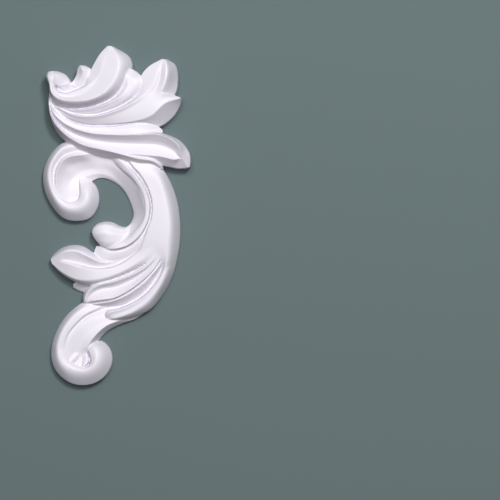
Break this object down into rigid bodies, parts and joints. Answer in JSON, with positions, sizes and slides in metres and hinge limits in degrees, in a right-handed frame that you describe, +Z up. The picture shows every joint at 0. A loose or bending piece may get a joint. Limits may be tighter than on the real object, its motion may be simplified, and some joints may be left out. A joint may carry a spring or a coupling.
{
  "type": "moulding ornament",
  "caption": "Left-hand cast scroll appliqué for a wall or panel corner, with a leaf plume at the top, a curved stem, side leaves and two volutes on a flat back.",
  "frame": {"origin": "on the flat back, behind the stem of the ornament, where it is fixed", "axes": "+Z up along the ornament's length, +Y out of the flat back into the wall, so the relief looks towards -Y"},
  "size_m": [0.1479, 0.0302, 0.3387],
  "materials": {
    "scroll_ornament": "white primer, satin"
  },
  "bodies": {
    "root": {"scroll_ornament": "scroll_ornament"}
  },
  "joints": []
}
